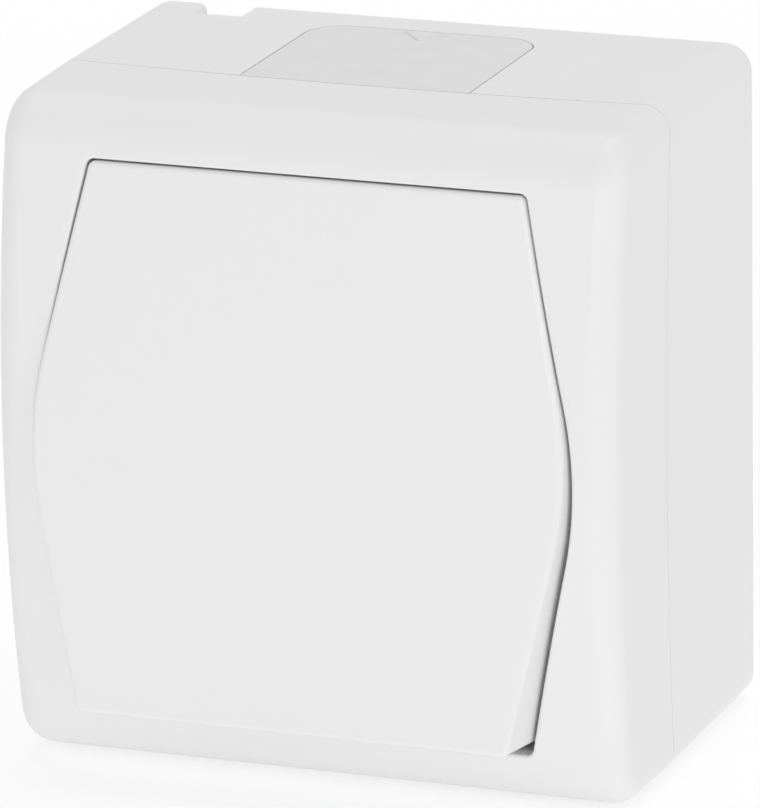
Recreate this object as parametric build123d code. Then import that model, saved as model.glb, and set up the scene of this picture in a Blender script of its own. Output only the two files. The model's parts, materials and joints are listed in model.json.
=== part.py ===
from build123d import *
from math import cos, degrees, radians, sin, tan
import os

# Two-way switch, surface mounted, in millimetres.
# The origin is the centre of the wall face, +Z is up and the front faces -Y.
# A depth is measured forwards from the wall.

# Housing
box_width = 75.0
box_height = 79.3
corner_radius = 3.2
least_corner = 1.0
rear_depth = 29.4
seam_bow_top = 1.44
seam_bow_side = 2.14
seam_gap = 0.1
seam_margin = 5.0
wall = 2.4
back_thickness = 2.5
back_edge_round = 0.4
front_depth = 49.8
front_radius = 180.0
frame_wall = 2.2
frame_draft = 1.5
end_edge_round = 6.4
seal_thickness = 1.3
lip_height = 1.8
lip_thickness = 1.25
lip_root = 4.0
ledge_height = 1.3
joint_clearance = 0.15
seat_clearance = 0.05
cut_over = 1.0

# Well in the front frame
rim_side = 5.1
rim_end = 6.7
side_lean = 12.15
side_radius = 44.0
well_corner = 1.0
well_wall = 1.3
well_edge_round = 0.35
floor_depth = 35.5
floor_thickness = 2.0
window_width = 26.8
window_height = 16.4
window_corner = 2.0

# Rocker key
key_side_gap = 0.25
key_end_gap = 0.2
key_draft = 1.0
key_corner = 1.1
key_inner_corner = 0.4
key_edge_depth = 50.8
key_face_radius = 500.0
key_edge_round = 0.6
key_skirt = 10.5
key_wall = 1.6
key_top = 1.8
key_rib = 1.0
key_rib_height = 3.0
key_rib_spacing = 30.0
tilt_each_way = 7.2
pivot_depth = 41.5

# Actuator and the key's clips
actuator_width = 16.0
actuator_height = 12.0
actuator_back = 38.5
actuator_front = 46.5
actuator_corner = 1.0
trunnion_radius = 2.0
running_clearance = 0.05
clip_thickness = 1.4
clip_height = 3.0
clip_spacing = 9.0
clip_hook = 0.8
clip_clearance = 0.1
nose_radius = 3.6
nose_depth = 30.0
bore_radius = 2.55
bore_end_wall = 1.2

# Plunger and spring
plunger_head_depth = 39.0
plunger_step_depth = 27.5
plunger_tip_radius = 1.7
plunger_tip_round = 1.6
plunger_step_overlap = 1.0
contact_clearance = 0.35
spring_radius = 1.85
spring_wire = 0.5
spring_turns = 6

# Mechanism block
block_width = 48.0
block_height = 40.0
block_corner = 2.0
block_back = 9.0
block_front = 28.0
block_wall = 2.0
pocket_depth = 17.0
core_depth = 5.5
chamber_width = 14.0
chamber_height = 33.0
pocket_width = 11.4
pocket_height = 8.4
cover_thickness = 2.0
pad_width = 29.6
pad_height = 19.6
pad_depth = 32.0
cheek_gap = 20.0
cheek_thickness = 2.5
cheek_height = 9.0
cheek_over = 3.0
cheek_round = 2.7
cover_slot_width = 8.4
cover_slot_height = 12.4
cover_slot_corner = 2.5
lug_width = 9.0
lug_thickness = 3.0
lug_reach = 7.5
lug_root = 1.0
post_room = 3.5
post_radius = 3.4

# Contacts and terminals
strip_thickness = 1.0
strip_height = 6.0
terminal_clearance = 0.2
line_offset = 12.5
line_end = 1.0
fixed_tip_radius = 1.7
fixed_tip_height = 0.9
tip_gap = 0.05
moving_tip_radius = 1.6
moving_tip_height = 0.8
tip_shank_radius = 0.8
tip_rivet_radius = 1.3
tip_rivet_height = 0.3
blade_width = 7.0
blade_thickness = 0.8
blade_reach = 14.8
blade_lean = 7.0
blade_round = 2.1
fulcrum_radius = 0.8
fulcrum_length = 11.2
fulcrum_root = 0.5
ear_gap = 8.6
ear_thickness = 1.2
ear_height = 4.8
ear_rise = 1.0
wire_gap = 1.6
wire_hole_radius = 1.7
clamp_width = 7.0
clamp_height = 6.4
clamp_thickness = 1.0
clamp_corner = 0.6
clamp_rib_width = 0.8
clamp_rib_height = 0.6
terminal_screw_radius = 1.7
terminal_head_radius = 2.8
terminal_head_height = 2.6
terminal_screw_end = 12.5
terminal_screw_relief = 0.3
access_radius = 3.1

# Screws, pillars and wall fixing
screw_radius = 1.75
screw_head_radius = 3.3
screw_head_height = 2.2
screw_head_round = 0.65
screw_slot_width = 0.9
screw_slot_depth = 1.1
thread_clearance = 0.05
hole_end_room = 0.5
pillar_radius = 3.4
pillar_inset = 9.4
pillar_room = 0.6
pillar_screw_end = 18.0
cup_depth = 31.5
cup_wall = 1.2
cup_clearance = 0.5
post_screw_end = 4.0
wall_slot_width = 4.5
wall_slot_length = 8.0
wall_slot_inset_x = 9.5
wall_slot_inset_z = 8.65
wall_collar = 1.75
wall_collar_height = 2.0

# Cable entry, notch and knock-outs
entry_width = 28.0
entry_back = 5.4
entry_corner = 4.5
entry_clearance = 0.15
entry_flange = 1.5
entry_flange_thickness = 2.2
entry_membrane = 1.2
entry_cup_radius = 8.5
mark_width = 5.7
mark_length = 3.4
mark_depth = 6.5
mark_height = 0.25
notch_width = 6.0
notch_inset = 10.7
notch_depth = 5.1
notch_height = 2.9
notch_wall = 1.5
notch_round = 1.2
knock_out_radius = 8.0
knock_out_groove = 0.7
drain_radius = 2.5
drain_skin = 0.8


def at_depth(depth):
    return Plane(origin=(0, -depth, 0), x_dir=(1, 0, 0), z_dir=(0, -1, 0))


def slab(sketch, back, front):
    return extrude(at_depth(back) * sketch, front - back)


def block(width, height, back, front, x=0.0, z=0.0, corner=0.0):
    if corner > 0:
        outline = RectangleRounded(width, height, corner)
    else:
        outline = Rectangle(width, height)
    return slab(Pos(x, z) * outline, back, front)


def rod(radius, back, front, x=0.0, z=0.0):
    return slab(Pos(x, z) * Circle(radius), back, front)


def cross_rod(radius, length, depth, x=0.0, z=0.0):
    return Pos(x, -depth, z) * Rot(0, 90, 0) * Cylinder(radius, length)


def turn_about_x(shape, depth, angle):
    return shape.rotate(Axis((0, -depth, 0), (1, 0, 0)), angle)


# The housing's outline, drawn in by an inset all round
def housing_outline(inset):
    radius = max(corner_radius - inset, least_corner)
    return RectangleRounded(box_width - 2 * inset, box_height - 2 * inset, radius)


# All that lies behind the crowned seam, moved forwards by a rise
def behind_seam(rise):
    half_height = box_height / 2 + seam_margin
    half_width = box_width / 2 + seam_margin
    crest = rear_depth + seam_bow_top + seam_bow_side + rise
    drop = seam_bow_side * (half_height / (box_height / 2)) ** 2
    outline = ThreePointArc((drop - crest, -half_height), (-crest, 0), (drop - crest, half_height))
    outline += Polyline((drop - crest, half_height), (seam_margin, half_height),
                        (seam_margin, -half_height), (drop - crest, -half_height))
    section = Plane.YZ * make_face(outline)
    bow_radius = (box_width / 2) ** 2 / (2 * seam_bow_top)
    swing = Axis((0, bow_radius - crest, 0), (0, 0, 1))
    half_angle = degrees(half_width / bow_radius)
    return revolve(section.rotate(swing, -half_angle), swing, 2 * half_angle)


# All that lies behind a front face curved about X
def behind_face(depth, radius, inset):
    return Pos(0, radius - depth, 0) * Rot(0, 90, 0) * Cylinder(radius - inset, 2 * box_width)


def is_along_depth(edge):
    return abs((edge % 0.5).Y) > 0.7


# The front frame's outer form, drawn in by an inset: the side view gives the
# curved face and its rounded ends, and the long edges at the sides are rounded
def frame_form(inset):
    half_height = box_height / 2 - inset
    back = rear_depth - seam_margin
    front = front_depth + cut_over
    lean = (front - rear_depth) * tan(radians(frame_draft))
    outline = Polyline((-back, half_height), (-rear_depth, half_height), (-front, half_height - lean),
                       (-front, lean - half_height), (-rear_depth, -half_height), (-back, -half_height),
                       close=True)
    side_view = make_face(outline) & Pos(front_radius - front_depth, 0) * Circle(front_radius - inset)
    side_view = fillet(side_view.vertices().group_by(Axis.X)[0], end_edge_round - inset)
    half_width = box_width / 2 - inset
    form = extrude(Plane.YZ * side_view, half_width, both=True)
    long_edges = form.edges().filter_by(
        lambda e: abs(e.center().X) > half_width - 0.01 and e.center().Y < -back)
    return fillet(long_edges, max(corner_radius - inset, least_corner))


# A ring just inside the housing's wall, between two rises from the seam
def seam_ring(outer_inset, inner_inset, low, high):
    ring = slab(housing_outline(outer_inset), cut_over, front_depth)
    ring -= slab(housing_outline(inner_inset), 0, front_depth + cut_over)
    return (ring & behind_seam(high)) - behind_seam(low)


# Four-cornered outline with leaning sides that meet in a long arc at mid-height
def barrel(half_width, half_height, corner):
    arc_half = side_radius * sin(radians(side_lean))
    arc_x = half_width - side_radius * (1 - cos(radians(side_lean)))
    corner_x = arc_x - (half_height - arc_half) * tan(radians(side_lean))
    outline = Polyline((-arc_x, arc_half), (-corner_x, half_height), (corner_x, half_height),
                       (arc_x, arc_half))
    outline += ThreePointArc((arc_x, arc_half), (half_width, 0), (arc_x, -arc_half))
    outline += Polyline((arc_x, -arc_half), (corner_x, -half_height), (-corner_x, -half_height),
                        (-arc_x, -arc_half))
    outline += ThreePointArc((-arc_x, -arc_half), (-half_width, 0), (-arc_x, arc_half))
    face = make_face(outline)
    corners = face.vertices().filter_by(lambda v: abs(v.Y) > half_height - 0.01)
    return fillet(corners, corner)


# A turned shape about an axis along Y, from pairs of depth and radius
def turned(steps, x=0.0, z=0.0):
    shape = None
    for back, front, radius in steps:
        piece = rod(radius, back, front, x, z)
        shape = piece if shape is None else shape + piece
    return shape


# A screw seen from the front: head with a slot, shank towards the wall
def screw(x, z, seat, end, radius, head_radius, head_height):
    shape = turned([(end, seat, radius), (seat, seat + head_height, head_radius)], x, z)
    top = shape.edges().group_by(Axis.Y)[0]
    shape = fillet(top, screw_head_round)
    slot = block(2 * head_radius + cut_over, screw_slot_width, seat + head_height - screw_slot_depth,
                 seat + head_height + cut_over, x, z)
    return shape - slot


well_half_width = box_width / 2 - rim_side
well_half_height = box_height / 2 - rim_end
wall_slot_x = box_width / 2 - wall_slot_inset_x
wall_slot_z = box_height / 2 - wall_slot_inset_z
wall_slots = [(sx * wall_slot_x, sz * wall_slot_z) for sx in (-1, 1) for sz in (-1, 1)]
notch_x = notch_inset - box_width / 2
pillar_x = well_half_width - pillar_inset
pillar_z = block_height / 2 + pillar_radius + pillar_room
pillars = {"upper": (-pillar_x, pillar_z), "lower": (pillar_x, -pillar_z)}
post_z = block_height / 2 + post_room
posts = {"upper": (0.0, post_z), "lower": (0.0, -post_z)}
terminal_offset = block_width / 2 - block_wall - terminal_clearance - clamp_width / 2
terminals = {"common": (-terminal_offset, 0.0), "upper": (terminal_offset, line_offset),
             "lower": (terminal_offset, -line_offset)}
pocket_front = pocket_depth + strip_thickness
hinge_depth = pocket_front + fixed_tip_height + tip_gap + moving_tip_height + blade_thickness / 2
blade_front = hinge_depth + blade_thickness / 2
plunger_reach = (pivot_depth - blade_front - contact_clearance) / cos(radians(tilt_each_way))
cover_front = block_front + cover_thickness
top_inner = box_height / 2 - wall
key_rise = (key_edge_depth - pivot_depth) * sin(radians(tilt_each_way))
key_half_height = (well_half_height - key_end_gap - key_rise) / cos(radians(tilt_each_way))


# The lip that stands up inside the rim and holds the frame square
def rim_lip():
    inner = frame_wall + joint_clearance + lip_thickness
    return seam_ring(wall - seat_clearance, inner, -lip_root, lip_height)


def make_rear_box():
    shape = slab(housing_outline(0), 0, front_depth)
    shape = fillet(shape.edges().group_by(Axis.Y)[-1], back_edge_round) & behind_seam(0)
    shape -= slab(housing_outline(wall), back_thickness, front_depth)
    flange_room = entry_width + 2 * entry_flange + 4 * entry_clearance
    shape += rim_lip() - Pos(0, -rear_depth, box_height / 2) * Box(flange_room, 4 * lip_root, 4 * wall)
    for x, z in pillars.values():
        shape += rod(pillar_radius, back_thickness / 2, cup_depth - joint_clearance, x, z)
        shape -= rod(screw_radius + thread_clearance, pillar_screw_end - hole_end_room, front_depth, x, z)
    for x, z in posts.values():
        shape += rod(post_radius, back_thickness / 2, block_back, x, z)
        shape -= rod(screw_radius + thread_clearance, post_screw_end - hole_end_room, front_depth, x, z)
    for x, z in wall_slots:
        collar = SlotOverall(wall_slot_length + 2 * wall_collar, wall_slot_width + 2 * wall_collar)
        shape += slab(Pos(x, z) * collar, back_thickness / 2, back_thickness + wall_collar_height)
        shape -= slab(Pos(x, z) * SlotOverall(wall_slot_length, wall_slot_width), -cut_over, front_depth)
    slot = slide_outline(entry_width, entry_back, entry_corner)
    shape -= extrude(Pos(0, 0, top_inner - cut_over) * slot, wall + 2 * cut_over)
    shape = cut_notch(shape)
    shape -= rod(knock_out_radius, -cut_over, knock_out_groove) - rod(
        knock_out_radius - knock_out_groove, -2 * cut_over, back_thickness)
    drain_z = drain_skin + wall / 2 - box_height / 2
    return shape - Pos(0, -rear_depth / 2, drain_z) * Cylinder(drain_radius, wall)


# Seen from above: a tongue that is open to the front and has round rear corners
def slide_outline(width, back, corner):
    length = 2 * rear_depth
    outline = Pos(0, -back - length / 2) * Rectangle(width, length)
    return fillet(outline.vertices().group_by(Axis.Y)[-1], corner)


# A notch through the top wall's rear edge, with its own pocket wall behind
def cut_notch(shape):
    hang = (Align.CENTER, Align.MAX, Align.MAX)
    pocket_top = box_height / 2 - wall / 2
    pocket = Box(notch_width + 2 * notch_wall, notch_depth + notch_wall,
                 notch_height + notch_wall - wall / 2, align=hang)
    shape += Pos(notch_x, 0, pocket_top) * pocket
    cut = Box(notch_width, notch_depth + cut_over, notch_height + cut_over, align=hang)
    shape -= Pos(notch_x, cut_over, box_height / 2 + cut_over) * cut
    left = notch_x - notch_width / 2
    shoulder = shape.edges().filter_by(Axis.Y).filter_by(
        lambda e: abs(e.center().X - left) < 0.01 and e.center().Z > box_height / 2 - 0.01)
    return fillet(shoulder, notch_round)


def make_cable_entry_insert():
    plug_outline = slide_outline(entry_width - 2 * entry_clearance, entry_back + entry_clearance,
                                 entry_corner - entry_clearance)
    plug = extrude(Pos(0, 0, top_inner - seat_clearance) * plug_outline, wall + seat_clearance)
    flange_outline = slide_outline(entry_width + 2 * entry_flange, entry_back - entry_flange,
                                   entry_corner + entry_flange)
    flange_z = top_inner - seat_clearance - entry_flange_thickness
    flange = extrude(Pos(0, 0, flange_z) * flange_outline, entry_flange_thickness)
    plate = (plug + flange) & behind_seam(0)
    plate += rim_lip() & Pos(0, -rear_depth, box_height / 2) * Box(
        entry_width - 2 * entry_clearance, 4 * lip_root, 4 * wall)
    cup_y = -(entry_back + rear_depth) / 2
    cup_z = box_height / 2 - entry_membrane - wall - entry_flange_thickness
    upwards = (Align.CENTER, Align.CENTER, Align.MIN)
    cup = Cylinder(entry_cup_radius, wall + entry_flange_thickness, align=upwards)
    plate -= Pos(0, cup_y, cup_z) * cup
    mark = make_face(Polyline((-mark_width / 2, -mark_depth), (mark_width / 2, -mark_depth),
                              (0, -mark_depth - mark_length), close=True))
    return plate + extrude(Pos(0, 0, box_height / 2 - mark_height) * mark, 2 * mark_height)


def make_rim_seal():
    inner = frame_wall + joint_clearance + lip_thickness
    return seam_ring(frame_wall + seat_clearance, inner, lip_height + seat_clearance,
                     lip_height + seat_clearance + seal_thickness)


def make_front_frame():
    seal_front = lip_height + 2 * seat_clearance + seal_thickness
    rim_room = slab(housing_outline(frame_wall), 0, front_depth) & behind_seam(seal_front + ledge_height)
    shape = frame_form(0) - behind_seam(seam_gap) - frame_form(frame_wall) - rim_room
    well = barrel(well_half_width + well_wall, well_half_height + well_wall, well_corner + well_wall)
    column = slab(well, floor_depth - floor_thickness, front_depth)
    shape += column & behind_face(front_depth, front_radius, frame_wall / 2)
    opening = barrel(well_half_width, well_half_height, well_corner)
    shape -= slab(opening, floor_depth, front_depth + cut_over)
    mouth = shape.edges().filter_by(
        lambda e: e.center().Y < -(floor_depth + front_depth) / 2
        and abs(e.center().X) < well_half_width + 0.1
        and abs(e.center().Z) < well_half_height + 0.1
        and not is_along_depth(e))
    shape = fillet(mouth, well_edge_round)
    shape += seam_ring(frame_wall - seat_clearance, frame_wall + joint_clearance + lip_thickness,
                       seal_front, seal_front + ledge_height)
    shape -= block(window_width, window_height, 0, floor_depth + cut_over, corner=window_corner)
    head_room = screw_head_radius + cup_clearance
    for x, z in pillars.values():
        shape += rod(head_room + cup_wall, cup_depth, floor_depth - floor_thickness / 2, x, z)
        shape -= rod(head_room, cup_depth + floor_thickness, floor_depth + cut_over, x, z)
        shape -= rod(screw_radius + 4 * thread_clearance, 0, floor_depth, x, z)
    return shape


def make_well_seal():
    ring = block(pad_width, pad_height, pad_depth + seat_clearance,
                 floor_depth - floor_thickness - seat_clearance, corner=window_corner)
    return ring - block(window_width, window_height, 0, floor_depth, corner=window_corner)


def make_rocker_key():
    crown = key_half_height ** 2 / (2 * key_face_radius)
    face_depth = key_edge_depth + crown
    skirt_depth = key_edge_depth - key_skirt
    flare = key_skirt * tan(radians(key_draft))
    half_width = well_half_width - key_side_gap - flare
    outline = barrel(half_width + flare, key_half_height + flare, key_corner)
    shape = extrude(at_depth(skirt_depth) * outline, face_depth + cut_over - skirt_depth, taper=key_draft)
    shape &= behind_face(face_depth, key_face_radius, 0)
    rim = shape.edges().filter_by(lambda e: e.center().Y < key_edge_round - key_edge_depth)
    shape = fillet(rim, key_edge_round)
    inside = barrel(half_width - key_wall, key_half_height - key_wall, key_inner_corner)
    inner_space = behind_face(face_depth, key_face_radius, key_top)
    hollow = slab(inside, 0, face_depth) & inner_space
    shape -= hollow
    rib_back = key_edge_depth - key_top - key_rib_height
    ribs = None
    for place in (-key_rib_spacing / 2, key_rib_spacing / 2):
        long_rib = block(key_rib, 2 * key_half_height - key_wall, rib_back, face_depth, place)
        cross_rib = block(key_rib_spacing, key_rib, rib_back, face_depth, 0, place)
        ribs = long_rib + cross_rib if ribs is None else ribs + long_rib + cross_rib
    shape += ribs & behind_face(face_depth, key_face_radius, key_top / 2)
    hook_front = actuator_back - clip_clearance
    hook_back = hook_front - clip_thickness
    for side in (-1, 1):
        inner_x = actuator_width / 2 + clip_clearance
        x = side * (inner_x + clip_thickness / 2)
        hook_x = side * (inner_x + clip_thickness / 2 - clip_hook / 2)
        for z in (-clip_spacing / 2, clip_spacing / 2):
            shape += block(clip_thickness, clip_height, hook_back, face_depth - key_top / 2, x, z)
            shape += block(clip_thickness + clip_hook, clip_height, hook_back, hook_front, hook_x, z)
    return turn_about_x(shape, pivot_depth, -tilt_each_way)


def make_actuator():
    shape = block(actuator_width, actuator_height, actuator_back, actuator_front, corner=actuator_corner)
    length = cheek_gap + 2 * cheek_thickness - 4 * running_clearance
    shape += cross_rod(trunnion_radius, length, pivot_depth)
    shape += rod(nose_radius, nose_depth, actuator_back + actuator_corner)
    shape -= rod(bore_radius, 0, actuator_front - bore_end_wall)
    return turn_about_x(shape, pivot_depth, -tilt_each_way)


def make_plunger():
    head_radius = bore_radius - running_clearance
    tip_end = pivot_depth - plunger_reach
    shape = turned([(plunger_step_depth, plunger_head_depth, head_radius),
                    (tip_end, plunger_step_depth + plunger_step_overlap, plunger_tip_radius)])
    tip = shape.edges().group_by(Axis.Y)[-1]
    shape = fillet(tip, plunger_tip_round)
    return turn_about_x(shape, pivot_depth, -tilt_each_way)


def make_plunger_spring():
    room = actuator_front - bore_end_wall - plunger_head_depth
    height = room - spring_wire - 4 * running_clearance
    path = Helix(height / spring_turns, height, spring_radius)
    start = Plane(origin=path @ 0, z_dir=path % 0)
    shape = sweep(start * Circle(spring_wire / 2), path=path, is_frenet=True)
    first_turn = plunger_head_depth + spring_wire / 2 + 2 * running_clearance
    shape = Pos(0, -first_turn, 0) * Rot(90, 0, 0) * shape
    return turn_about_x(shape, pivot_depth, -tilt_each_way)


def make_mechanism_base():
    shape = block(block_width, block_height, block_back, block_front, corner=block_corner)
    for x, z in posts.values():
        side = 1 if z > 0 else -1
        lug_z = side * (block_height + lug_reach - lug_root) / 2
        shape += block(lug_width, lug_reach + lug_root, block_back, block_back + lug_thickness, 0, lug_z)
        shape -= rod(screw_radius + 4 * thread_clearance, 0, block_front, x, z)
    shape -= block(chamber_width, chamber_height, pocket_depth, block_front + cut_over)
    edge = block_width / 2 - block_wall
    for x, z in terminals.values():
        side = 1 if x > 0 else -1
        centre = side * (edge - pocket_width / 2)
        shape -= block(pocket_width, pocket_height, pocket_depth, block_front + cut_over, centre, z)
        shape -= block(edge, strip_height + 4 * seat_clearance, pocket_depth, pocket_front + cut_over,
                       side * edge / 2, z)
        relief = terminal_screw_radius + terminal_screw_relief
        shape -= rod(relief, terminal_screw_end - hole_end_room, block_front, x, z)
        wire_depth = pocket_front + wire_gap
        hole_length = 2 * block_wall + cut_over
        shape -= cross_rod(wire_hole_radius, hole_length, wire_depth, side * block_width / 2, z)
    core_width = (block_width - 3 * block_wall) / 2
    core_height = (block_height - 3 * block_wall) / 2
    for column in (-1, 1):
        for row in (-1, 1):
            x = column * (core_width + block_wall) / 2
            z = row * (core_height + block_wall) / 2
            shape -= block(core_width, core_height, 0, block_back + core_depth, x, z)
    return shape


def make_mechanism_cover():
    shape = block(block_width, block_height, block_front, cover_front, corner=block_corner)
    shape += block(pad_width, pad_height, block_front, pad_depth, corner=window_corner)
    cheek_front = pivot_depth + cheek_over
    for side in (-1, 1):
        x = side * (cheek_gap + cheek_thickness) / 2
        cheek = block(cheek_thickness, cheek_height, cover_front, cheek_front, x)
        front = cheek.edges().filter_by(Axis.X).group_by(Axis.Y)[0]
        shape += fillet(front, cheek_round)
    shape -= cross_rod(trunnion_radius + running_clearance, 2 * cheek_gap, pivot_depth)
    shape -= block(cover_slot_width, cover_slot_height, 0, pad_depth + cut_over, corner=cover_slot_corner)
    for x, z in terminals.values():
        shape -= rod(access_radius, 0, pad_depth + cut_over, x, z)
    return shape


def make_common_terminal():
    x, z = terminals["common"]
    outer_end = x - clamp_width / 2
    inner_end = ear_gap / 2 + ear_thickness
    centre = (inner_end + outer_end) / 2
    shape = block(inner_end - outer_end, strip_height, pocket_depth, pocket_front, centre)
    for side in (-1, 1):
        ear_x = side * (ear_gap + ear_thickness) / 2
        shape += block(ear_thickness, ear_height, pocket_depth, hinge_depth + ear_rise, ear_x)
    notch = fulcrum_radius + running_clearance
    shape -= cross_rod(notch, ear_gap + 4 * ear_thickness, hinge_depth)
    shape -= block(ear_gap + 4 * ear_thickness, 2 * notch, hinge_depth, block_front)
    return shape - rod(terminal_screw_radius + thread_clearance, 0, block_front, x, z)


def make_line_terminal(name):
    x, z = terminals[name]
    outer_end = x + clamp_width / 2
    inner_end = -fixed_tip_radius - line_end
    centre = (inner_end + outer_end) / 2
    shape = block(outer_end - inner_end, strip_height, pocket_depth, pocket_front, centre, z)
    shape -= rod(terminal_screw_radius + thread_clearance, 0, block_front, x, z)
    return shape - rod(tip_shank_radius, 0, block_front, 0, z)


def make_fixed_tip(name):
    z = terminals[name][1]
    return turned([(pocket_depth, pocket_front, tip_shank_radius),
                   (pocket_front, pocket_front + fixed_tip_height, fixed_tip_radius)], 0, z)


def tip_on_blade(name):
    z = terminals[name][1]
    side = 1 if z > 0 else -1
    back = hinge_depth - blade_thickness / 2
    shape = turned([(back - moving_tip_height, back, moving_tip_radius),
                    (back, blade_front, tip_shank_radius),
                    (blade_front, blade_front + tip_rivet_height, tip_rivet_radius)], 0, z)
    return turn_about_x(shape, hinge_depth, side * blade_lean)


def make_moving_tip(name):
    return turn_about_x(tip_on_blade(name), hinge_depth, blade_lean)


def make_changeover_contact():
    shape = None
    for side in (-1, 1):
        arm = block(blade_width, blade_reach, hinge_depth - blade_thickness / 2, blade_front, 0,
                    side * blade_reach / 2)
        ends = arm.edges().filter_by(Axis.Y).filter_by(lambda e: abs(e.center().Z) > blade_reach / 2)
        arm = fillet(ends, blade_round)
        arm -= rod(tip_shank_radius, 0, block_front, 0, side * line_offset)
        arm = turn_about_x(arm, hinge_depth, side * blade_lean)
        shape = arm if shape is None else shape + arm
    for side in (-1, 1):
        length = (fulcrum_length - blade_width) / 2 + fulcrum_root
        x = side * (fulcrum_length - length) / 2
        shape += cross_rod(fulcrum_radius, length, hinge_depth, x)
    return turn_about_x(shape, hinge_depth, blade_lean)


def make_clamp_plate(name):
    x, z = terminals[name]
    back = pocket_front + wire_gap
    shape = block(clamp_width, clamp_height, back, back + clamp_thickness, x, z, corner=clamp_corner)
    for side in (-1, 1):
        rib_z = z + side * (clamp_height - clamp_rib_width) / 2
        rib_back = back - clamp_rib_height
        shape += block(clamp_width, clamp_rib_width, rib_back, back + clamp_thickness / 2, x, rib_z)
    return shape - rod(terminal_screw_radius + thread_clearance, 0, block_front, x, z)


def make_clamp_screw(name):
    x, z = terminals[name]
    seat = pocket_front + wire_gap + clamp_thickness + seat_clearance
    return screw(x, z, seat, terminal_screw_end, terminal_screw_radius, terminal_head_radius,
                 terminal_head_height)


def make_frame_screw(name):
    x, z = pillars[name]
    seat = cup_depth + floor_thickness + seat_clearance
    return screw(x, z, seat, pillar_screw_end, screw_radius, screw_head_radius, screw_head_height)


def make_mechanism_screw(name):
    x, z = posts[name]
    seat = block_back + lug_thickness + seat_clearance
    return screw(x, z, seat, post_screw_end, screw_radius, screw_head_radius, screw_head_height)


pieces = {
    "rear_box": make_rear_box(),
    "cable_entry_insert": make_cable_entry_insert(),
    "rim_seal": make_rim_seal(),
    "front_frame": make_front_frame(),
    "well_seal": make_well_seal(),
    "rocker_key": make_rocker_key(),
    "actuator": make_actuator(),
    "plunger": make_plunger(),
    "plunger_spring": make_plunger_spring(),
    "mechanism_base": make_mechanism_base(),
    "mechanism_cover": make_mechanism_cover(),
    "common_terminal": make_common_terminal(),
    "changeover_contact": make_changeover_contact(),
}
for name in ("upper", "lower"):
    pieces[name + "_terminal"] = make_line_terminal(name)
    pieces[name + "_fixed_tip"] = make_fixed_tip(name)
    pieces[name + "_moving_tip"] = make_moving_tip(name)
    pieces[name + "_frame_screw"] = make_frame_screw(name)
    pieces[name + "_mechanism_screw"] = make_mechanism_screw(name)
for name in terminals:
    pieces[name + "_clamp_plate"] = make_clamp_plate(name)
    pieces[name + "_clamp_screw"] = make_clamp_screw(name)

os.makedirs("parts", exist_ok=True)
for name, shape in pieces.items():
    export_step(shape, "parts/" + name + ".step")
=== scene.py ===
import json
import math

import bpy
from mathutils import Matrix, Vector


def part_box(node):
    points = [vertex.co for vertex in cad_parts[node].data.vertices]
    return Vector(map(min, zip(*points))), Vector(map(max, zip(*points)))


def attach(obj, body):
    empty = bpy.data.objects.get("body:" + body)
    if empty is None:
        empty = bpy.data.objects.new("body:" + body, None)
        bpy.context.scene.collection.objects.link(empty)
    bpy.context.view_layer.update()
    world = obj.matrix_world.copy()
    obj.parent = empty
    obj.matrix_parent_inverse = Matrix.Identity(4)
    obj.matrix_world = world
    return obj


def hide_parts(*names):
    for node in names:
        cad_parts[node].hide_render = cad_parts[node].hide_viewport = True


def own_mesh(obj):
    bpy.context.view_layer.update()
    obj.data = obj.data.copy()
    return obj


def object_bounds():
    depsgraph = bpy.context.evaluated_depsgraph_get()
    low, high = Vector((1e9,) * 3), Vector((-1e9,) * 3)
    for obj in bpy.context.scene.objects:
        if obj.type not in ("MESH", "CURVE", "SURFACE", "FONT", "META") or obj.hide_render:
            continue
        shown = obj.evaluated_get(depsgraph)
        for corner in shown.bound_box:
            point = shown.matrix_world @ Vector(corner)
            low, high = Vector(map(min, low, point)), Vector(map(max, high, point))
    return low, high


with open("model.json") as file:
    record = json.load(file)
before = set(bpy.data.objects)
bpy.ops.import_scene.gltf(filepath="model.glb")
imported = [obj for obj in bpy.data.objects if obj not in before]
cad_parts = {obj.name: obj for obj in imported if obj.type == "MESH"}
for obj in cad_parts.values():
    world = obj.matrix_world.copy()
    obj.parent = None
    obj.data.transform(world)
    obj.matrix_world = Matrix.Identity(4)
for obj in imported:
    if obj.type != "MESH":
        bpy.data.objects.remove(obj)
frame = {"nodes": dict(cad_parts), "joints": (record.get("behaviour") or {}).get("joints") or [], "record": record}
cadLow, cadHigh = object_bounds()
mm = 0.001  # in metres


def hexColour(code):  # sRGB hex to the linear values that the shader takes
    shades = [int(code[i:i + 2], 16) / 255 for i in (0, 2, 4)]
    linear = [s / 12.92 if s <= 0.04045 else ((s + 0.055) / 1.055) ** 2.4 for s in shades]
    return (*linear, 1.0)


def direction(azimuth, elevation):  # from the switch, azimuth 0 is straight ahead of its key
    az, el = math.radians(azimuth), math.radians(elevation)
    return Vector((math.sin(az) * math.cos(el), -math.cos(az) * math.cos(el), math.sin(el)))


# camera

photoView = {
    "aim": (0.35, -25.0, 0.14),  # mm, close to the middle of the housing
    "azimuth": 20.88,  # degrees, as elevation and roll
    "elevation": 16.80,
    "roll": -0.96,
    "distance": 928.0,  # mm
    "lens": 358.19,  # mm, fills the photo's frame with the housing
    "clip": (0.05, 20),  # m, the nearest and farthest that it sees
}


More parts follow.
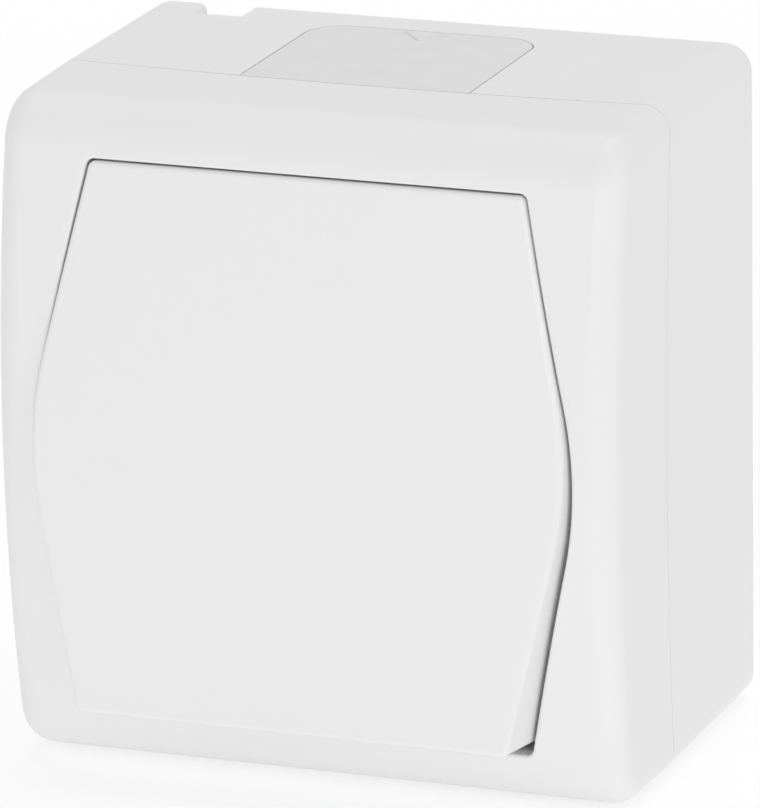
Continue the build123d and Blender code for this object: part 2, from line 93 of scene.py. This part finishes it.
def makeCamera(v):
    back = direction(v["azimuth"], v["elevation"])
    bpy.ops.object.camera_add(location=(Vector(v["aim"]) + back * v["distance"]) * mm)
    camera = bpy.context.object
    camera.name = "photoCamera"
    level = (-back).to_track_quat("-Z", "Y")
    roll = Matrix.Rotation(math.radians(v["roll"]), 4, "Z").to_quaternion()
    camera.rotation_mode = "QUATERNION"
    camera.rotation_quaternion = level @ roll
    camera.data.lens = v["lens"]
    camera.data.clip_start, camera.data.clip_end = v["clip"]
    camera.data.dof.use_dof = False
    bpy.context.scene.camera = camera


makeCamera(photoView)
print("camera placed")


# stage and light

studio = {
    "floorGap": 0.05,  # mm below the housing
    "floorSize": 6.0,  # m
    "floorColour": "ffffff",
    "seenColour": "ffffff",  # what the camera and reflections see of the table and the walls
    "seenStrength": 1.0,
    "shadowShare": 0.45,  # how much of the floor's own shading shows beside the switch
    "shadowReach": (0.08, 0.40),  # m from the middle, where the shading starts to fade and where it ends
    "tableGlow": 0.18,  # light that the white table gives back from beneath the switch
    "worldColour": "ffffff",
    "worldStrength": 0.51,
    "lampAim": (0, -25, 0),  # mm
    "lamps": [  # distance and size in m, power in W
        {"name": "frontSoftbox", "azimuth": 5, "elevation": 10, "distance": 1.6, "size": 0.9, "power": 4.8},
        {"name": "rightSoftbox", "azimuth": 62, "elevation": 8, "distance": 1.4, "size": 0.7, "power": 1.45},
        {"name": "sideSoftbox", "azimuth": 85, "elevation": 25, "distance": 1.4, "size": 0.8, "power": 0.7},
        {"name": "overheadSoftbox", "azimuth": 180, "elevation": 75, "distance": 1.4, "size": 1.0,
         "power": 5.0},
    ],
}


def addNode(tree, kind, values=None, links=None, **settings):  # links: its own input to another's output
    node = tree.nodes.new(kind)
    for name, value in settings.items():
        setattr(node, name, value)
    for name, value in (values or {}).items():
        node.inputs[name].default_value = value
    for name, source in (links or {}).items():
        tree.links.new(source, node.inputs[name])
    return node


def startMaterial(name):
    material = bpy.data.materials.new(name)
    material.use_nodes = True
    material.node_tree.nodes.clear()
    return material, material.node_tree


def makeStage(s):
    bpy.ops.object.select_all(action="DESELECT")  # the housing's pieces come in selected
    bpy.ops.mesh.primitive_plane_add(size=s["floorSize"], location=(0, 0, cadLow.z - s["floorGap"] * mm))
    floor = bpy.context.object
    floor.name = "studioFloor"
    material, tree = startMaterial("whitePaper")
    rays = addNode(tree, "ShaderNodeLightPath")
    seen = addNode(tree, "ShaderNodeMath", operation="MAXIMUM",
                   links={0: rays.outputs["Is Camera Ray"], 1: rays.outputs["Is Glossy Ray"]})
    paper = addNode(tree, "ShaderNodeBsdfDiffuse", {"Color": hexColour(s["floorColour"])})
    lift = addNode(tree, "ShaderNodeEmission",
                   {"Color": hexColour(s["floorColour"]), "Strength": s["tableGlow"]})
    table = addNode(tree, "ShaderNodeAddShader", links={0: paper.outputs[0], 1: lift.outputs[0]})
    white = addNode(tree, "ShaderNodeEmission",
                    {"Color": hexColour(s["seenColour"]), "Strength": s["seenStrength"]})
    place = addNode(tree, "ShaderNodeTexCoord")
    away = addNode(tree, "ShaderNodeVectorMath", links={0: place.outputs["Object"]}, operation="LENGTH")
    start, end = s["shadowReach"]  # the shadow fades out in between, so that no floor edge shows
    share = addNode(tree, "ShaderNodeMapRange",
                    {"From Min": start, "From Max": end, "To Min": s["shadowShare"], "To Max": 0.0},
                    {"Value": away.outputs["Value"]})
    veil = addNode(tree, "ShaderNodeMixShader",
                   links={0: share.outputs[0], 1: white.outputs[0], 2: table.outputs[0]})
    mix = addNode(tree, "ShaderNodeMixShader",
                  links={0: seen.outputs[0], 1: table.outputs[0], 2: veil.outputs[0]})
    addNode(tree, "ShaderNodeOutputMaterial", links={"Surface": mix.outputs[0]})
    floor.data.materials.append(material)


def makeWorld(s):
    world = bpy.data.worlds.new("paleStudio")
    bpy.context.scene.world = world
    world.use_nodes = True
    tree = world.node_tree
    tree.nodes.clear()
    rays = addNode(tree, "ShaderNodeLightPath")
    direct = addNode(tree, "ShaderNodeMath", operation="MAXIMUM",
                     links={0: rays.outputs["Is Camera Ray"], 1: rays.outputs["Is Glossy Ray"]})
    seen = addNode(tree, "ShaderNodeMath", operation="MAXIMUM",
                   links={0: direct.outputs[0], 1: rays.outputs["Is Transmission Ray"]})
    light = addNode(tree, "ShaderNodeBackground",
                    {"Color": hexColour(s["worldColour"]), "Strength": s["worldStrength"]})
    white = addNode(tree, "ShaderNodeBackground",
                    {"Color": hexColour(s["seenColour"]), "Strength": s["seenStrength"]})
    mix = addNode(tree, "ShaderNodeMixShader",
                  links={0: seen.outputs[0], 1: light.outputs[0], 2: white.outputs[0]})
    addNode(tree, "ShaderNodeOutputWorld", links={"Surface": mix.outputs[0]})


def makeLamp(lamp, aim):
    towards = direction(lamp["azimuth"], lamp["elevation"])
    bpy.ops.object.light_add(type="AREA", location=aim + towards * lamp["distance"])
    softbox = bpy.context.object
    softbox.name = lamp["name"]
    softbox.data.shape = "DISK"
    softbox.data.size = lamp["size"]
    softbox.data.energy = lamp["power"]
    softbox.rotation_euler = (-towards).to_track_quat("-Z", "Y").to_euler()


makeStage(studio)
makeWorld(studio)
for lamp in studio["lamps"]:
    makeLamp(lamp, Vector(studio["lampAim"]) * mm)
bpy.context.scene.view_settings.view_transform = "Standard"
print("studio lit")


# what every finish has in common

firstColour, secondColour, mixedColour = 6, 7, 2  # a Mix node's colour sockets, by their numbers
surface = {
    "bumpStrength": 0.5,
    "grainDetail": 2.0,  # octaves of noise in fine grain and in slow drift of tone
    "patchDetail": 3.0,  # octaves in the duller patches of a metal
}


def finishSurface(tree, m, tone, patches, relief, height, fixed):
    bump = addNode(tree, "ShaderNodeBump", {"Strength": surface["bumpStrength"], "Distance": height * mm},
                   {"Height": relief.outputs["Fac"]})
    smoothest = m["roughness"] - m["roughnessDrift"]
    roughest = m["roughness"] + m["roughnessDrift"]
    gloss = addNode(tree, "ShaderNodeMapRange", {"To Min": smoothest, "To Max": roughest},
                    {"Value": patches.outputs["Fac"]})
    skin = addNode(tree, "ShaderNodeBsdfPrincipled", fixed,
                   {"Base Color": tone.outputs[mixedColour], "Roughness": gloss.outputs[0],
                    "Normal": bump.outputs[0]})
    addNode(tree, "ShaderNodeOutputMaterial", links={"Surface": skin.outputs[0]})


# plastics and rubbers

sparkErodedAbs = {  # ABS housing, moulded in a spark-eroded tool: satin, with a fine even grain
    "colour": "f3f3f3",
    "shade": "f1f1f1",
    "cloud": 16.0,  # mm, slow drift of tone from the melt flow
    "roughness": 0.44,
    "roughnessDrift": 0.04,
    "grain": 0.32,  # mm between grain peaks, coarser than the real 0.05 so that it shows
    "grainHeight": 0.010,  # mm
    "ior": 1.54,
}
polishedAbs = {  # ABS key, moulded in a smoother tool: a calm, slightly silkier white
    "colour": "f3f3f3",
    "shade": "f2f2f2",
    "cloud": 20.0,
    "roughness": 0.36,
    "roughnessDrift": 0.03,
    "grain": 0.5,
    "grainHeight": 0.004,
    "ior": 1.54,
}
mattElastomer = {  # thermoplastic elastomer cable entry: a shade greyer than the ABS and dead matt
    "colour": "f0f0f0",
    "shade": "ececec",
    "cloud": 3.0,
    "roughness": 0.72,
    "roughnessDrift": 0.06,
    "grain": 0.35,
    "grainHeight": 0.03,
    "ior": 1.50,
}
sealRubber = {  # EPDM seals, cut from moulded sheet: dull charcoal with a faint bloom
    "colour": "2b2b2d",
    "shade": "3a3a3c",
    "cloud": 2.0,
    "roughness": 0.8,
    "roughnessDrift": 0.08,
    "grain": 0.25,
    "grainHeight": 0.03,
    "ior": 1.50,
}
glassFilledPolyamide = {  # polyamide block with glass fibre: mid grey with pale fibre clouds
    "colour": "8b8e91",
    "shade": "a0a3a5",
    "cloud": 4.0,
    "roughness": 0.55,
    "roughnessDrift": 0.1,
    "grain": 0.2,
    "grainHeight": 0.02,
    "ior": 1.53,
}
mouldedAcetal = {  # acetal actuator and plunger: waxy ivory white, smooth where it slides
    "colour": "e6e4dc",
    "shade": "dfddd4",
    "cloud": 5.0,
    "roughness": 0.3,
    "roughnessDrift": 0.05,
    "grain": 0.4,
    "grainHeight": 0.003,
    "ior": 1.48,
}


def mouldedPlastic(name, m):
    material, tree = startMaterial(name)
    place = addNode(tree, "ShaderNodeTexCoord")
    drift = addNode(tree, "ShaderNodeTexNoise",
                    {"Scale": 1 / (m["cloud"] * mm), "Detail": surface["grainDetail"]},
                    {"Vector": place.outputs["Object"]})
    tone = addNode(tree, "ShaderNodeMix",
                   {firstColour: hexColour(m["colour"]), secondColour: hexColour(m["shade"])},
                   {0: drift.outputs["Fac"]}, data_type="RGBA")
    grain = addNode(tree, "ShaderNodeTexNoise",
                    {"Scale": 1 / (m["grain"] * mm), "Detail": surface["grainDetail"]},
                    {"Vector": place.outputs["Object"]})
    finishSurface(tree, m, tone, drift, grain, m["grainHeight"], {"IOR": m["ior"]})
    return material


# metals

stampedBrass = {  # brass terminals, stamped from rolled strip: warm yellow with rolling lines along X
    "colour": "d9b45f",
    "tarnish": "b98c45",
    "stain": 3.0,  # mm between duller patches
    "lineSpacing": (6.0, 0.12, 0.12),  # mm along X, Y and Z
    "lineHeight": 0.004,  # mm
    "roughness": 0.28,
    "roughnessDrift": 0.12,
}
rolledCopper = {  # copper alloy blade, rolled and then bent: salmon red with lines along its length
    "colour": "cf8a62",
    "tarnish": "a8623f",
    "stain": 2.5,
    "lineSpacing": (0.12, 0.12, 5.0),
    "lineHeight": 0.004,
    "roughness": 0.26,
    "roughnessDrift": 0.12,
}
silverAlloy = {  # silver alloy contact rivets, cold headed: white metal with small yellowed spots
    "colour": "e9e7e1",
    "tarnish": "c9bfa4",
    "stain": 0.8,
    "lineSpacing": (0.3, 0.3, 0.3),
    "lineHeight": 0.002,
    "roughness": 0.22,
    "roughnessDrift": 0.1,
}
zincPlatedSteel = {  # zinc plated steel screws and clamps: cool bright grey with a cloudy film
    "colour": "c3c8cc",
    "tarnish": "a9afb2",
    "stain": 1.5,
    "lineSpacing": (0.25, 0.25, 0.25),
    "lineHeight": 0.003,
    "roughness": 0.32,
    "roughnessDrift": 0.12,
}
drawnSpringSteel = {  # stainless spring wire, drawn and coiled: darker grey, polished by the die
    "colour": "a9abad",
    "tarnish": "8d8f91",
    "stain": 0.6,
    "lineSpacing": (0.08, 0.08, 0.08),
    "lineHeight": 0.002,
    "roughness": 0.25,
    "roughnessDrift": 0.08,
}


def workedMetal(name, m):
    material, tree = startMaterial(name)
    place = addNode(tree, "ShaderNodeTexCoord")
    patches = addNode(tree, "ShaderNodeTexNoise",
                      {"Scale": 1 / (m["stain"] * mm), "Detail": surface["patchDetail"]},
                      {"Vector": place.outputs["Object"]})
    tone = addNode(tree, "ShaderNodeMix",
                   {firstColour: hexColour(m["colour"]), secondColour: hexColour(m["tarnish"])},
                   {0: patches.outputs["Fac"]}, data_type="RGBA")
    perMetre = [1 / (spacing * mm) for spacing in m["lineSpacing"]]
    stretch = addNode(tree, "ShaderNodeMapping", {"Scale": perMetre}, {"Vector": place.outputs["Object"]})
    lines = addNode(tree, "ShaderNodeTexNoise", {"Scale": 1.0, "Detail": surface["grainDetail"]},
                    {"Vector": stretch.outputs[0]})
    finishSurface(tree, m, tone, patches, lines, m["lineHeight"], {"Metallic": 1.0})
    return material


finishes = {
    "housing_plastic": mouldedPlastic("sparkErodedAbs", sparkErodedAbs),
    "key_plastic": mouldedPlastic("polishedAbs", polishedAbs),
    "entry_elastomer": mouldedPlastic("mattElastomer", mattElastomer),
    "seal_elastomer": mouldedPlastic("sealRubber", sealRubber),
    "block_plastic": mouldedPlastic("glassFilledPolyamide", glassFilledPolyamide),
    "actuator_plastic": mouldedPlastic("mouldedAcetal", mouldedAcetal),
    "terminal_brass": workedMetal("stampedBrass", stampedBrass),
    "contact_copper": workedMetal("rolledCopper", rolledCopper),
    "silver_tips": workedMetal("silverAlloy", silverAlloy),
    "plated_steel": workedMetal("zincPlatedSteel", zincPlatedSteel),
    "spring_steel": workedMetal("drawnSpringSteel", drawnSpringSteel),
}
print("materials ready")

for part in frame["record"]["subparts"]:
    slots = frame["nodes"][part["node"]].data.materials
    slots.clear()
    slots.append(finishes[part["material_slot"]])
print("switch dressed")


# plunger spring, wound again here as a coil of wire and fixed to the rocker in place of the CAD spring

plungerSpring = {
    "wire": 0.5,  # mm, diameter
    "wireSides": 16,
    "coil": 1.85,  # mm, from the axis to the middle of the wire
    "height": 5.6,  # mm, between the middles of the first and last turns
    "turns": 6,
    "stepsPerTurn": 28,
    "smoothAngle": 40,  # degrees, keeps the cut ends of the wire crisp
}


def makeSpring(v):
    slide = next(joint for joint in frame["joints"] if joint["name"] == "plunger_slide")
    inwards = Vector(slide["axis"]).normalized()
    low, high = (Vector(corner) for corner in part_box("plunger_spring"))
    middle = (low + high) / 2
    bpy.ops.object.select_all(action="DESELECT")
    bpy.ops.mesh.primitive_circle_add(vertices=v["wireSides"], radius=v["wire"] / 2 * mm,
                                      location=(v["coil"] * mm, 0, -v["height"] / 2 * mm),
                                      rotation=(math.pi / 2, 0, 0))
    spring = bpy.context.object
    spring.name = "plungerSpring"
    bpy.ops.object.transform_apply(location=True, rotation=True, scale=True)
    coil = spring.modifiers.new("coil", "SCREW")
    coil.axis = "Z"
    coil.iterations = v["turns"]
    coil.screw_offset = v["height"] / v["turns"] * mm
    coil.steps = coil.render_steps = v["stepsPerTurn"]
    bpy.ops.object.modifier_apply(modifier=coil.name)
    bpy.ops.object.mode_set(mode="EDIT")
    bpy.ops.mesh.select_all(action="DESELECT")
    bpy.ops.mesh.select_non_manifold()
    bpy.ops.mesh.fill_holes(sides=v["wireSides"])  # the two cut ends of the wire
    bpy.ops.mesh.select_all(action="SELECT")
    bpy.ops.mesh.normals_make_consistent(inside=False)
    bpy.ops.object.mode_set(mode="OBJECT")
    spring.location = middle
    spring.rotation_euler = inwards.to_track_quat("Z", "Y").to_euler()
    bpy.ops.object.transform_apply(location=True, rotation=True, scale=True)
    bpy.ops.object.shade_smooth_by_angle(angle=math.radians(v["smoothAngle"]))
    spring.data.materials.append(finishes["spring_steel"])
    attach(spring, "rocker")
    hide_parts("plunger_spring")
    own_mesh(spring)


makeSpring(plungerSpring)
print("spring wound")
